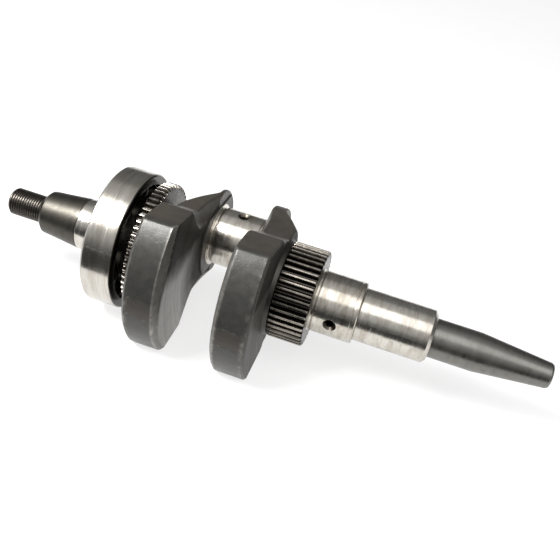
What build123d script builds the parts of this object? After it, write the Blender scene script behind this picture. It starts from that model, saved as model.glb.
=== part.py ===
from build123d import *
import math
import os

# Crankshaft of a small single-throw engine, with its ball bearing and two gears.
# Frame: X runs along the crank axis from the flywheel thread to the output taper, the crankpin
# stands off towards +Y, the counterweights towards -Y, and Z is up. The origin is the centre of
# the ball bearing. All lengths are millimetres.

# --- shaft stations along X -------------------------------------------------------------------
THREAD_END_X = -73.5
FLYWHEEL_TAPER_SMALL_X = -51.5
FLYWHEEL_TAPER_LARGE_X = -26.2
BEARING_SEAT_X = -10.5
GEAR_SEAT_X = 9.0
BALANCER_GEAR_X = 14.2
BALANCER_GEAR_WIDTH = 6.8
LEFT_WEB_OUTER_X = 22.5
LEFT_WEB_THICKNESS = 20.0
PIN_GAP = 30.3
RIGHT_WEB_THICKNESS = 19.7
TIMING_GEAR_X = 94.8
TIMING_GEAR_WIDTH = 20.2
MAIN_JOURNAL_END_X = 140.3
SEAL_JOURNAL_END_X = 181.1
OUTPUT_CYLINDER_END_X = 206.0
OUTPUT_END_X = 246.5

LEFT_WEB_INNER_X = LEFT_WEB_OUTER_X + LEFT_WEB_THICKNESS
RIGHT_WEB_INNER_X = LEFT_WEB_INNER_X + PIN_GAP
RIGHT_WEB_OUTER_X = RIGHT_WEB_INNER_X + RIGHT_WEB_THICKNESS
PIN_MIDDLE_X = (LEFT_WEB_INNER_X + RIGHT_WEB_INNER_X) / 2

# --- shaft radii --------------------------------------------------------------------------------
THREAD_MAJOR_R = 8.0
THREAD_PITCH = 1.5
THREAD_DEPTH = 0.92
FLYWHEEL_TAPER_SMALL_R = 12.5
FLYWHEEL_TAPER_LARGE_R = 15.0
BEARING_BORE_R = 20.0
BALANCER_SEAT_R = 21.0
TIMING_SEAT_R = 18.0
MAIN_JOURNAL_R = 17.5
SEAL_JOURNAL_R = 15.0
OUTPUT_CYLINDER_R = 11.0
SHOULDER_R = 25.0
RIGHT_SHOULDER_R = 27.0

# --- small turned details -----------------------------------------------------------------------
THREAD_CHAMFER = 1.3
THREAD_RUNOUT = 3.0
THREAD_FLAT = THREAD_PITCH / 8
TAPER_NOSE = 2.0
SEAT_CORNER = 1.0
RELIEF_DEPTH = 0.6
RELIEF_X = (0.4, 1.6, 2.2)  # floor start, floor end and far edge, measured from the timing gear
WEAR_GROOVE_DEPTH = 0.25
WEAR_GROOVE_X = (3.2, 3.0, 2.6, 2.4)  # edge, floor, floor, edge, back from the journal's end
JOURNAL_EDGE = 0.6
SEAL_LEAD_IN = 2.0
OUTPUT_NOSE = ((1.5, 7.12), (0.4, 6.5), (0.0, 5.5))  # distance back from the end, and radius

# --- crankpin and webs ---------------------------------------------------------------------------
THROW = 33.0
PIN_R = 17.5
LOBE_R = 27.5
THRUST_FACE_R = 26.0
THRUST_FACE_HEIGHT = 0.8
NECK_HALF_WIDTH = 29.5
HORN_Y = -13.5
HORN_HALF_WIDTH = 38.0
RIM_END_Y = -37.6
RIM_END_HALF_WIDTH = 40.5
RIM_R = math.hypot(RIM_END_Y, RIM_END_HALF_WIDTH)
THRUST_HALF_WIDTH = 19.0
LOBE_NECK_Y = 3.0
LOBE_FOOT_Y = -12.0
HORN_STEP = 2.5
HORN_FOOT_Y = 1.0
UNDERCUT_X = 2.1
UNDERCUT_SINK = 0.5
UNDERCUT_R = 1.1
# the outer side of each web is coned about the crank axis on the pin side: the cone's radius where
# it leaves the outer face, its rise along X per millimetre of radius, and the flange it ends at
LEFT_CONE_START_R = 24.8
RIGHT_CONE_START_R = 33.5
CONE_RISE = 0.9
LEFT_FLANGE = 2.5
RIGHT_FLANGE = 8.3
CONE_FOOT_Y = -3.0
# the inner side falls away beside the thrust face: each facet starts at a line given by one point
# and the direction it falls in, with its fall per millimetre
INNER_FACETS = (
    ((-15.0, 37.6), (0.79, 0.61), 0.5),
    ((12.0, 19.5), (0.0, 1.0), 0.38),
    ((37.0, 27.6), (-0.39, 0.92), 0.5),
)
# rim edges as (face, chamfer along X, chamfer towards the axis)
RIM_EDGES = (
    (LEFT_WEB_OUTER_X, 1.5, 1.5),
    (LEFT_WEB_INNER_X, 2.0, 5.0),
    (RIGHT_WEB_INNER_X, 2.0, 2.0),
    (RIGHT_WEB_OUTER_X, 1.5, 1.5),
)

# --- ball bearing, 40 x 80 x 18 --------------------------------------------------------------------
BEARING_OUTER_R = 40.0
BEARING_WIDTH = 18.0
BEARING_CHAMFER = 1.0
OUTER_LAND_R = 34.4
INNER_LAND_R = 25.8
PITCH_R = 30.0
BALL_R = 5.95
RACE_R = 6.2
RACE_CLEARANCE = 0.05
BALL_COUNT = 9
CAGE_POCKET_R = 6.2
CAGE_SHELL_R = 7.1
CAGE_SHEET = 1.0
CAGE_INNER_R = 27.2
CAGE_OUTER_R = 32.8
RIVET_R = 0.9
RIVET_HEAD_R = 1.6
RIVET_HEAD_HEIGHT = 0.6

# --- gears -----------------------------------------------------------------------------------------
GEAR_MODULE = 1.25
PRESSURE_ANGLE = 20.0
DEDENDUM = 1.25
BACKLASH = 0.03
ROOT_FLARE = 0.12
FLANK_START = 0.35
FLANK_STEPS = 4
TOOTH_END_CHAMFER = 0.8
BALANCER_TEETH = 58
BALANCER_HUB_R = 26.0
TIMING_TEETH = 42
KEY_SIZE = 4.0
BALANCER_KEY_X = BALANCER_GEAR_X + 1.0
BALANCER_KEY_LENGTH = BALANCER_GEAR_WIDTH - 1.0
TIMING_KEY_X = TIMING_GEAR_X + 3.0
TIMING_KEY_LENGTH = TIMING_GEAR_WIDTH - 3.0

# --- oil drillings -----------------------------------------------------------------------------------
OIL_HOLE_R = 2.25
OIL_COUNTERSINK_R = 3.75
JOURNAL_OIL_X = 127.0
JOURNAL_OIL_ANGLE = 5.9
GALLERY_LENGTH = 98.2
GALLERY_MOUTH_CLEAR = 10.0
PLUG_R = 3.5
PLUG_LENGTH = 3.0
PLUG_SINK = 4.2
PLUG_CHAMFER = 0.4

# --- threads and keyways at the ends ----------------------------------------------------------------
KEYWAY_WIDTH = 5.0
KEYWAY_FLOOR_R = 11.6
KEYWAY_START_X = -47.0
KEYWAY_END_X = -28.0
KEYWAY_ANGLE = 65.0
TAPPED_HOLE_R = 3.4
TAPPED_HOLE_DEPTH = 25.0
LATHE_CENTRE_R = 2.5
LATHE_CENTRE_DEPTH = 4.3

# how far joined shapes reach into each other, and cutters past what they cut
OVERLAP = 1.0

os.makedirs("parts", exist_ok=True)


def save(part, label):
    """Name a finished piece and write it to its own file."""
    part.label = label
    export_step(part, f"parts/{label}.step")


def flywheel_side_profile():
    """Half section of the shaft from the threaded end to the left web, as (x, radius) points."""
    root_r = THREAD_MAJOR_R - THREAD_DEPTH
    half_flat = THREAD_FLAT / 2
    points = [(THREAD_END_X, 0), (THREAD_END_X, THREAD_MAJOR_R - THREAD_CHAMFER)]
    turns = int((FLYWHEEL_TAPER_SMALL_X - THREAD_END_X - THREAD_RUNOUT) / THREAD_PITCH)
    for turn in range(turns):
        crest_x = THREAD_END_X + THREAD_CHAMFER + turn * THREAD_PITCH
        root_x = crest_x + THREAD_PITCH / 2
        points += [
            (crest_x - half_flat, THREAD_MAJOR_R),
            (crest_x + half_flat, THREAD_MAJOR_R),
            (root_x - half_flat, root_r),
            (root_x + half_flat, root_r),
        ]
    gear_end = BALANCER_GEAR_X + BALANCER_GEAR_WIDTH
    points += [
        (FLYWHEEL_TAPER_SMALL_X, root_r),
        (FLYWHEEL_TAPER_SMALL_X, FLYWHEEL_TAPER_SMALL_R - TAPER_NOSE),
        (FLYWHEEL_TAPER_SMALL_X + TAPER_NOSE, FLYWHEEL_TAPER_SMALL_R),
        (FLYWHEEL_TAPER_LARGE_X, FLYWHEEL_TAPER_LARGE_R),
        (BEARING_SEAT_X, FLYWHEEL_TAPER_LARGE_R),
        (BEARING_SEAT_X, BEARING_BORE_R - SEAT_CORNER),
        (BEARING_SEAT_X + SEAT_CORNER, BEARING_BORE_R),
        (GEAR_SEAT_X, BEARING_BORE_R),
        (GEAR_SEAT_X, BALANCER_SEAT_R),
        (gear_end, BALANCER_SEAT_R),
        (gear_end, SHOULDER_R),
        (LEFT_WEB_OUTER_X + OVERLAP, SHOULDER_R),
        (LEFT_WEB_OUTER_X + OVERLAP, 0),
    ]
    return points


def output_side_profile():
    """Half section of the shaft from the right web to the output end, as (x, radius) points."""
    gear_end = TIMING_GEAR_X + TIMING_GEAR_WIDTH
    relief_start, relief_end, relief_edge = [gear_end + reach for reach in RELIEF_X]
    groove = [MAIN_JOURNAL_END_X - back for back in WEAR_GROOVE_X]
    return [
        (RIGHT_WEB_OUTER_X - OVERLAP, 0),
        (RIGHT_WEB_OUTER_X - OVERLAP, RIGHT_SHOULDER_R),
        (TIMING_GEAR_X, RIGHT_SHOULDER_R),
        (TIMING_GEAR_X, TIMING_SEAT_R),
        (gear_end, TIMING_SEAT_R),
        (relief_start, MAIN_JOURNAL_R - RELIEF_DEPTH),
        (relief_end, MAIN_JOURNAL_R - RELIEF_DEPTH),
        (relief_edge, MAIN_JOURNAL_R),
        (groove[0], MAIN_JOURNAL_R),
        (groove[1], MAIN_JOURNAL_R - WEAR_GROOVE_DEPTH),
        (groove[2], MAIN_JOURNAL_R - WEAR_GROOVE_DEPTH),
        (groove[3], MAIN_JOURNAL_R),
        (MAIN_JOURNAL_END_X - JOURNAL_EDGE, MAIN_JOURNAL_R),
        (MAIN_JOURNAL_END_X, MAIN_JOURNAL_R - JOURNAL_EDGE),
        (MAIN_JOURNAL_END_X, SEAL_JOURNAL_R),
        (SEAL_JOURNAL_END_X - SEAL_LEAD_IN, SEAL_JOURNAL_R),
        (SEAL_JOURNAL_END_X, SEAL_JOURNAL_R - SEAL_LEAD_IN),
        (SEAL_JOURNAL_END_X, OUTPUT_CYLINDER_R),
        (OUTPUT_CYLINDER_END_X, OUTPUT_CYLINDER_R),
        *[(OUTPUT_END_X - back, radius) for back, radius in OUTPUT_NOSE],
        (OUTPUT_END_X, 0),
    ]


def lobe_outline():
    """The pin end of a web: a round lobe about the pin on a straight neck."""
    with BuildSketch() as outline:
        with BuildLine():
            ThreePointArc((THROW, LOBE_R), (THROW + LOBE_R, 0), (THROW, -LOBE_R))
            Polyline(
                (THROW, -LOBE_R),
                (LOBE_NECK_Y, -NECK_HALF_WIDTH),
                (LOBE_FOOT_Y, -NECK_HALF_WIDTH),
                (LOBE_FOOT_Y, NECK_HALF_WIDTH),
                (LOBE_NECK_Y, NECK_HALF_WIDTH),
                (THROW, LOBE_R),
            )
        make_face()
    return outline.sketch


def counterweight_outline():
    """The counterweight: a rim arc about the crank axis, flared sides and two horns."""
    with BuildSketch() as outline:
        with BuildLine():
            Polyline(
                (RIM_END_Y, RIM_END_HALF_WIDTH),
                (HORN_Y, HORN_HALF_WIDTH),
                (HORN_Y + HORN_STEP, HORN_HALF_WIDTH - HORN_STEP / 2),
                (HORN_FOOT_Y, NECK_HALF_WIDTH),
                (HORN_FOOT_Y, -NECK_HALF_WIDTH),
                (HORN_Y + HORN_STEP, HORN_STEP / 2 - HORN_HALF_WIDTH),
                (HORN_Y, -HORN_HALF_WIDTH),
                (RIM_END_Y, -RIM_END_HALF_WIDTH),
            )
            ThreePointArc(
                (RIM_END_Y, -RIM_END_HALF_WIDTH),
                (-RIM_R, 0),
                (RIM_END_Y, RIM_END_HALF_WIDTH),
            )
        make_face()
    return outline.sketch


def make_cone_cutter(outer_x, inner_x, cone_start_r, flange):
    """What the turned cone takes off the pin side of a web's outer face."""
    side = 1 if inner_x > outer_x else -1
    flange_x = inner_x - side * flange
    flange_r = cone_start_r + abs(flange_x - outer_x) / CONE_RISE
    clear_r = 2 * RIM_R
    with BuildPart() as cutter:
        with BuildSketch(turning_plane):
            with BuildLine():
                Polyline(
                    (outer_x, cone_start_r),
                    (flange_x, flange_r),
                    (flange_x, clear_r),
                    (outer_x - side, clear_r),
                    (outer_x - side, cone_start_r),
                    close=True,
                )
            make_face()
        revolve(axis=Axis.X)
        with BuildSketch(Plane.XZ.offset(-CONE_FOOT_Y)):
            Rectangle(4 * clear_r, 4 * clear_r)
        extrude(amount=-2 * clear_r, mode=Mode.INTERSECT)
    return cutter.part


def make_facet_cutter(inner_x, side, across):
    """What falls away from a web's inner face beside the thrust face, on one side of the throw."""
    reach = 2 * RIM_R
    with BuildPart() as cutter:
        with Locations((inner_x, 0, across * reach / 2)):
            Box(LEFT_WEB_THICKNESS, reach, reach)
        for (start_y, start_z), (fall_y, fall_z), fall in INNER_FACETS:
            facet = Plane(
                origin=(inner_x, start_y, across * start_z),
                z_dir=(side, fall * fall_y, across * fall * fall_z),
            )
            with BuildSketch(facet):
                Rectangle(4 * reach, 4 * reach)
            extrude(amount=2 * reach, mode=Mode.INTERSECT)
    return cutter.part


def make_web(outer_x, inner_x, cone_start_r, flange):
    """One web with its counterweight, from its outer face to its inner, crankpin face."""
    side = 1 if inner_x > outer_x else -1
    low_x = min(outer_x, inner_x)
    with BuildPart() as web:
        with BuildSketch(Plane.YZ.offset(low_x)):
            add(lobe_outline())
        extrude(amount=abs(inner_x - outer_x))
        with BuildSketch(Plane.YZ.offset(low_x)):
            add(counterweight_outline())
        extrude(amount=abs(inner_x - outer_x))
        add(make_cone_cutter(outer_x, inner_x, cone_start_r, flange), mode=Mode.SUBTRACT)
        for across in (-1, 1):
            add(make_facet_cutter(inner_x, side, across), mode=Mode.SUBTRACT)
    return web.part


# the turned profiles are drawn downwards, so that their seams stay clear of every oil hole
turning_plane = Plane(origin=(0, 0, 0), x_dir=(1, 0, 0), z_dir=(0, 1, 0))

left_web = make_web(LEFT_WEB_OUTER_X, LEFT_WEB_INNER_X, LEFT_CONE_START_R, LEFT_FLANGE)
right_web = make_web(RIGHT_WEB_OUTER_X, RIGHT_WEB_INNER_X, RIGHT_CONE_START_R, RIGHT_FLANGE)

gallery_start = Vector(JOURNAL_OIL_X, 0, 0)
gallery_way = (Vector(PIN_MIDDLE_X, THROW, 0) - gallery_start).normalized()
gallery_mouth = gallery_start + gallery_way * GALLERY_LENGTH
plug_plane = Plane(origin=gallery_mouth - gallery_way * PLUG_SINK, z_dir=gallery_way)
journal_hole_way = Vector(0, -1, 0).rotate(Axis.X, JOURNAL_OIL_ANGLE)
journal_hole_plane = Plane(
    origin=gallery_start + journal_hole_way * MAIN_JOURNAL_R,
    x_dir=(1, 0, 0),
    z_dir=journal_hole_way,
)
pin_axis = Axis((0, THROW, 0), (1, 0, 0))
pin_hole_planes = [
    Plane(origin=(PIN_MIDDLE_X, THROW, way * PIN_R), z_dir=(0, 0, way)) for way in (-1, 1)
]

with BuildPart() as crankshaft:
    for profile in (flywheel_side_profile(), output_side_profile()):
        with BuildSketch(turning_plane):
            with BuildLine():
                Polyline(*profile, close=True)
            make_face()
        revolve(axis=Axis.X)
    add(left_web)
    add(right_web)
    # chamfered rim edges of both counterweights
    for face_x, along, inwards in RIM_EDGES:
        inside = -1 if face_x in (LEFT_WEB_INNER_X, RIGHT_WEB_OUTER_X) else 1
        with BuildSketch(turning_plane):
            with BuildLine():
                Polyline(
                    (face_x, RIM_R - inwards),
                    (face_x + inside * along, RIM_R),
                    (face_x + inside * along, RIM_R + OVERLAP),
                    (face_x - inside * OVERLAP, RIM_R + OVERLAP),
                    (face_x - inside * OVERLAP, RIM_R - inwards),
                    close=True,
                )
            make_face()
        revolve(axis=Axis.X, mode=Mode.SUBTRACT)
    # crankpin, with a raised thrust face on each web and an undercut fillet at each end
    with BuildSketch(Plane.YZ.offset(LEFT_WEB_INNER_X - OVERLAP)):
        with Locations((THROW, 0)):
            Circle(PIN_R)
    extrude(amount=PIN_GAP + 2 * OVERLAP)
    for face_x, way in ((LEFT_WEB_INNER_X, 1), (RIGHT_WEB_INNER_X, -1)):
        with BuildSketch(Plane.YZ.offset(face_x - way * OVERLAP)):
            with Locations((THROW, 0)):
                Circle(THRUST_FACE_R)
            with Locations((THROW, 0)):
                Rectangle(2 * LOBE_R, 2 * THRUST_HALF_WIDTH, mode=Mode.INTERSECT)
        extrude(amount=way * (THRUST_FACE_HEIGHT + OVERLAP))
        with BuildSketch(Plane.XY):
            with Locations((face_x + way * UNDERCUT_X, THROW + PIN_R + UNDERCUT_SINK)):
                Circle(UNDERCUT_R)
        revolve(axis=pin_axis, mode=Mode.SUBTRACT)
    # oil drillings: journal hole, slanted gallery through the pin, cross hole in the pin
    with Locations(journal_hole_plane):
        CounterSinkHole(OIL_HOLE_R, OIL_COUNTERSINK_R, MAIN_JOURNAL_R)
    with BuildSketch(Plane(origin=gallery_start, z_dir=gallery_way)):
        Circle(OIL_HOLE_R)
    extrude(amount=GALLERY_LENGTH, mode=Mode.SUBTRACT)
    with BuildSketch(plug_plane):
        Circle(PLUG_R)
    extrude(amount=PLUG_SINK + GALLERY_MOUTH_CLEAR, mode=Mode.SUBTRACT)
    for pin_hole_plane in pin_hole_planes:
        with Locations(pin_hole_plane):
            CounterSinkHole(OIL_HOLE_R, OIL_COUNTERSINK_R, PIN_R)
    # flywheel keyway, sunk square to the crank axis, with round ends
    keyway_length = KEYWAY_END_X - KEYWAY_START_X
    keyway_plane = Plane(
        origin=((KEYWAY_START_X + KEYWAY_END_X) / 2, 0, 0),
        x_dir=(1, 0, 0),
        z_dir=(0, math.cos(math.radians(KEYWAY_ANGLE)), math.sin(math.radians(KEYWAY_ANGLE))),
    )
    with BuildSketch(keyway_plane.offset(KEYWAY_FLOOR_R)):
        SlotOverall(keyway_length, KEYWAY_WIDTH)
    extrude(amount=FLYWHEEL_TAPER_LARGE_R - KEYWAY_FLOOR_R + OVERLAP, mode=Mode.SUBTRACT)
    # keyways under the two gears
    for start_x, length, seat_r in (
        (BALANCER_KEY_X, BALANCER_KEY_LENGTH, BALANCER_SEAT_R),
        (TIMING_KEY_X, TIMING_KEY_LENGTH, TIMING_SEAT_R),
    ):
        with BuildSketch(Plane.YZ.offset(start_x)):
            with Locations((seat_r, 0)):
                Rectangle(KEY_SIZE, KEY_SIZE)
        extrude(amount=length, mode=Mode.SUBTRACT)
    # tapped hole in the output end, and lathe centre in the threaded end
    with BuildSketch(Plane.YZ.offset(OUTPUT_END_X)):
        Circle(TAPPED_HOLE_R)
    extrude(amount=-TAPPED_HOLE_DEPTH, mode=Mode.SUBTRACT)
    with BuildSketch(Plane.XY):
        with BuildLine():
            Polyline(
                (THREAD_END_X, 0),
                (THREAD_END_X, LATHE_CENTRE_R),
                (THREAD_END_X + LATHE_CENTRE_DEPTH, 0),
                close=True,
            )
        make_face()
    revolve(axis=Axis.X, mode=Mode.SUBTRACT)
save(crankshaft.part, "crankshaft")

with BuildPart() as gallery_plug:
    with BuildSketch(plug_plane):
        Circle(PLUG_R)
    extrude(amount=PLUG_LENGTH)
    chamfer(gallery_plug.edges().filter_by(GeomType.CIRCLE), PLUG_CHAMFER)
save(gallery_plug.part, "oil_gallery_plug")


def make_race_ring(race_side_r, fitted_r, race_centre_r):
    """A bearing ring with its ball race, its fitted corners broken, centred on the origin."""
    half = BEARING_WIDTH / 2
    broken = math.copysign(BEARING_CHAMFER, fitted_r - race_side_r)
    with BuildPart() as ring:
        with BuildSketch(Plane.XY):
            with BuildLine():
                Polyline(
                    (-half, race_side_r),
                    (-half, fitted_r - broken),
                    (-half + BEARING_CHAMFER, fitted_r),
                    (half - BEARING_CHAMFER, fitted_r),
                    (half, fitted_r - broken),
                    (half, race_side_r),
                    close=True,
                )
            make_face()
            with Locations((0, race_centre_r)):
                Circle(RACE_R, mode=Mode.SUBTRACT)
        revolve(axis=Axis.X)
    return ring.part


race_offset = RACE_R - BALL_R - RACE_CLEARANCE
save(make_race_ring(OUTER_LAND_R, BEARING_OUTER_R, PITCH_R - race_offset), "bearing_outer_ring")
save(make_race_ring(INNER_LAND_R, BEARING_BORE_R, PITCH_R + race_offset), "bearing_inner_ring")


def around_axis(angle, radius):
    """Centre of a place on a circle about the crank axis, in the bearing's middle plane."""
    turn = math.radians(angle)
    return Vector(0, radius * math.cos(turn), radius * math.sin(turn))


for number in range(BALL_COUNT):
    ball_centre = around_axis(number * 360 / BALL_COUNT, PITCH_R)
    with BuildPart() as ball:
        with Locations(ball_centre):
            Sphere(BALL_R)
    save(ball.part, f"bearing_ball_{number + 1}")


def make_cage_half(side):
    """One pressed half of the ball cage: a flat ribbon that cups each ball."""
    reach = CAGE_SHELL_R + OVERLAP
    with BuildPart() as half:
        with BuildSketch(Plane.YZ):
            Circle(CAGE_OUTER_R)
            Circle(CAGE_INNER_R, mode=Mode.SUBTRACT)
        extrude(amount=side * CAGE_SHEET)
        for number in range(BALL_COUNT):
            with Locations(around_axis(number * 360 / BALL_COUNT, PITCH_R)):
                Sphere(CAGE_SHELL_R)
        with BuildSketch(Plane.YZ):
            Circle(CAGE_OUTER_R)
            Circle(CAGE_INNER_R, mode=Mode.SUBTRACT)
        extrude(amount=side * reach, mode=Mode.INTERSECT)
        for number in range(BALL_COUNT):
            with Locations(around_axis(number * 360 / BALL_COUNT, PITCH_R)):
                Sphere(CAGE_POCKET_R, mode=Mode.SUBTRACT)
        for number in range(BALL_COUNT):
            hole = around_axis((number + 0.5) * 360 / BALL_COUNT, PITCH_R)
            with BuildSketch(Plane.YZ):
                with Locations((hole.Y, hole.Z)):
                    Circle(RIVET_R)
            extrude(amount=side * reach, mode=Mode.SUBTRACT)
    return half.part


save(make_cage_half(-1), "bearing_cage_left")
save(make_cage_half(1), "bearing_cage_right")

with BuildPart() as cage_rivets:
    for number in range(BALL_COUNT):
        spot = around_axis((number + 0.5) * 360 / BALL_COUNT, PITCH_R)
        head_x = CAGE_SHEET + RIVET_HEAD_HEIGHT
        with BuildSketch(Plane.YZ.offset(-head_x)):
            with Locations((spot.Y, spot.Z)):
                Circle(RIVET_R)
        extrude(amount=2 * head_x)
        for start_x in (-head_x, CAGE_SHEET):
            with BuildSketch(Plane.YZ.offset(start_x)):
                with Locations((spot.Y, spot.Z)):
                    Circle(RIVET_HEAD_R)
            extrude(amount=RIVET_HEAD_HEIGHT)
save(cage_rivets.part, "bearing_cage_rivets")


def tooth_flank_points(teeth):
    """Points up one involute flank, as (radius, half angle of the tooth) pairs."""
    pitch_r = GEAR_MODULE * teeth / 2
    base_r = pitch_r * math.cos(math.radians(PRESSURE_ANGLE))
    tip_r = pitch_r + GEAR_MODULE
    root_r = pitch_r - DEDENDUM * GEAR_MODULE
    roll_at_pitch = math.tan(math.radians(PRESSURE_ANGLE)) - math.radians(PRESSURE_ANGLE)
    half_at_pitch = (math.pi / 2 - BACKLASH) / teeth
    flank = [(root_r, half_at_pitch + roll_at_pitch + ROOT_FLARE / teeth)]
    start_r = max(base_r, root_r + FLANK_START)
    for step in range(FLANK_STEPS + 1):
        r = start_r + (tip_r - start_r) * step / FLANK_STEPS
        pressure = math.acos(base_r / r)
        flank.append((r, half_at_pitch + roll_at_pitch - (math.tan(pressure) - pressure)))
    return flank


def gear_outline(teeth):
    """The whole toothed outline of a spur gear about the crank axis."""
    flank = tooth_flank_points(teeth)
    points = []
    for number in range(teeth):
        middle = 2 * math.pi * number / teeth
        rising = [(r, middle - half) for r, half in flank]
        falling = [(r, middle + half) for r, half in reversed(flank)]
        points += [(r * math.cos(a), r * math.sin(a)) for r, a in rising + falling]
    with BuildSketch() as outline:
        with BuildLine():
            Polyline(*points, close=True)
        make_face()
    return outline.sketch


def make_gear(teeth, start_x, width, bore_r, key_x, hub_x, hub_r):
    """A spur gear on the crank axis with broken tooth ends and a keyway in its bore; its hub runs
    from hub_x to the toothed part."""
    tip_r = GEAR_MODULE * (teeth / 2 + 1)
    corner_r = tip_r - TOOTH_END_CHAMFER
    clear_r = tip_r + OVERLAP
    end_x = start_x + width
    with BuildPart() as gear:
        with BuildSketch(Plane.YZ.offset(start_x)):
            add(gear_outline(teeth))
        extrude(amount=width)
        with BuildSketch(Plane.XY):
            with BuildLine():
                Polyline(
                    (start_x, 0),
                    (start_x, corner_r),
                    (start_x + clear_r - corner_r, clear_r),
                    (end_x - clear_r + corner_r, clear_r),
                    (end_x, corner_r),
                    (end_x, 0),
                    close=True,
                )
            make_face()
        revolve(axis=Axis.X, mode=Mode.INTERSECT)
        if hub_x < start_x:
            with BuildSketch(Plane.YZ.offset(hub_x)):
                Circle(hub_r)
            extrude(amount=start_x - hub_x)
        with BuildSketch(Plane.YZ.offset(hub_x - OVERLAP)):
            Circle(bore_r)
        extrude(amount=end_x - hub_x + 2 * OVERLAP, mode=Mode.SUBTRACT)
        with BuildSketch(Plane.YZ.offset(key_x)):
            with Locations((bore_r, 0)):
                Rectangle(KEY_SIZE, KEY_SIZE)
        extrude(amount=end_x - key_x, mode=Mode.SUBTRACT)
    return gear.part


balancer_gear = make_gear(
    teeth=BALANCER_TEETH,
    start_x=BALANCER_GEAR_X,
    width=BALANCER_GEAR_WIDTH,
    bore_r=BALANCER_SEAT_R,
    key_x=BALANCER_KEY_X,
    hub_x=GEAR_SEAT_X,
    hub_r=BALANCER_HUB_R,
)
save(balancer_gear, "balancer_gear")

timing_gear = make_gear(
    teeth=TIMING_TEETH,
    start_x=TIMING_GEAR_X,
    width=TIMING_GEAR_WIDTH,
    bore_r=TIMING_SEAT_R,
    key_x=TIMING_KEY_X,
    hub_x=TIMING_GEAR_X,
    hub_r=TIMING_SEAT_R,
)
save(timing_gear, "timing_gear")

for label, start_x, length, seat_r in (
    ("balancer_gear_key", BALANCER_KEY_X, BALANCER_KEY_LENGTH, BALANCER_SEAT_R),
    ("timing_gear_key", TIMING_KEY_X, TIMING_KEY_LENGTH, TIMING_SEAT_R),
):
    with BuildPart() as key:
        with BuildSketch(Plane.YZ.offset(start_x)):
            with Locations((seat_r, 0)):
                Rectangle(KEY_SIZE, KEY_SIZE)
        extrude(amount=length)
    save(key.part, label)
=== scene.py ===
import math

import bmesh
import bpy
import numpy as np
from mathutils import Matrix, Vector, noise


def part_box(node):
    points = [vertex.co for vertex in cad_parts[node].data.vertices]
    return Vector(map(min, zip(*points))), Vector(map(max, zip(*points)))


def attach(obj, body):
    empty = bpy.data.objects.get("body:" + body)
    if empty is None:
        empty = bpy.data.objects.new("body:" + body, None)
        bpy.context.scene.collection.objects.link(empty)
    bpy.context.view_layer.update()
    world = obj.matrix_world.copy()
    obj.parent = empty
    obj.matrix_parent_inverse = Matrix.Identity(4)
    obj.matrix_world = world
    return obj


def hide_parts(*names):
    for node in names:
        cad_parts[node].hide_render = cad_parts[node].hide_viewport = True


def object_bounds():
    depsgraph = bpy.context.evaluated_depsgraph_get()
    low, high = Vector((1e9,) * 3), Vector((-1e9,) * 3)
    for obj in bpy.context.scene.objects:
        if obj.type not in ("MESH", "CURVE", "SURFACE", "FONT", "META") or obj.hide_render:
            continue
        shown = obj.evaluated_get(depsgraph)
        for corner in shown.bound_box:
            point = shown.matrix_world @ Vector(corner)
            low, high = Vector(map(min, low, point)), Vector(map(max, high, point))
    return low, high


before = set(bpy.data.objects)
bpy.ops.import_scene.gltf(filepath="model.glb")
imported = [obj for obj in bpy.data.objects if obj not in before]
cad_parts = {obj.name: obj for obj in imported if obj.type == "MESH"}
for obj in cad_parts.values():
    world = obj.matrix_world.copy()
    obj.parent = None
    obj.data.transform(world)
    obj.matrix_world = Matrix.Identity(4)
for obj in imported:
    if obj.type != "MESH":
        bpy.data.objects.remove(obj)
cad_low, cad_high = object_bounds()

MM = 0.001

# ---------------------------------------------------------------------------------------------
# Stations of the crank, in millimetres of the row frame: X along the crank axis, the crankpin
# towards +Y, the counterweights towards -Y, the ball bearing's centre at the origin.
# ---------------------------------------------------------------------------------------------
THREAD_END_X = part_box("crankshaft")[0].x / MM
OUTPUT_END_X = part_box("crankshaft")[1].x / MM
TAPER_SMALL_X, TAPER_LARGE_X = -51.5, -26.2
TAPER_SMALL_R, TAPER_LARGE_R = 12.5, 15.0
BEARING_SEAT_X, GEAR_SEAT_X = -10.5, 9.0
BEARING_SEAT_R, BALANCER_SEAT_R, SHOULDER_R = 20.0, 21.0, 25.0
RIGHT_SHOULDER_R = 27.0
THREAD_R, THREAD_PITCH, THREAD_DEPTH = 8.0, 1.5, 0.92
LEFT_OUTER_X, LEFT_INNER_X = 22.5, 42.5
RIGHT_INNER_X, RIGHT_OUTER_X = 72.8, 92.5
THROW, PIN_R, LOBE_R, THRUST_R = 33.0, 17.5, 27.5, 26.0
THRUST_HEIGHT, THRUST_HALF_WIDTH = 0.8, 19.0
NECK_HALF_WIDTH, NECK_Y = 29.5, 3.0
HORN_Y, HORN_HALF_WIDTH = -13.5, 38.0
RIM_END_Y, RIM_END_HALF_WIDTH = -37.6, 40.5
RIM_R = math.hypot(RIM_END_Y, RIM_END_HALF_WIDTH)
HORN_BLUNT, CONE_RISE, INNER_CHAMFER = 2.5, 0.9, 2.0
# the inner side falls away beside the thrust face: where each facet starts, the direction it falls
# in, and its fall per millimetre; the facets roll into one another over the blend's reach
INNER_FACETS = (
    ((-15.0, 37.6), (0.79, 0.61), 0.5),
    ((12.0, 19.5), (0.0, 1.0), 0.38),
    ((37.0, 27.6), (-0.39, 0.92), 0.5),
)
FACET_BLEND = 0.9
# the left web's inner chamfer is a crescent: its reach at angles from the crankpin, in degrees
CRESCENT = ((127, 2.6), (133, 3.1), (141, 6.8), (150, 9.6), (161, 10.6), (168, 9.0), (177, 7.2),
            (184, 6.2), (191, 5.4), (203, 3.8), (213, 3.0), (233, 2.6))
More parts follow.
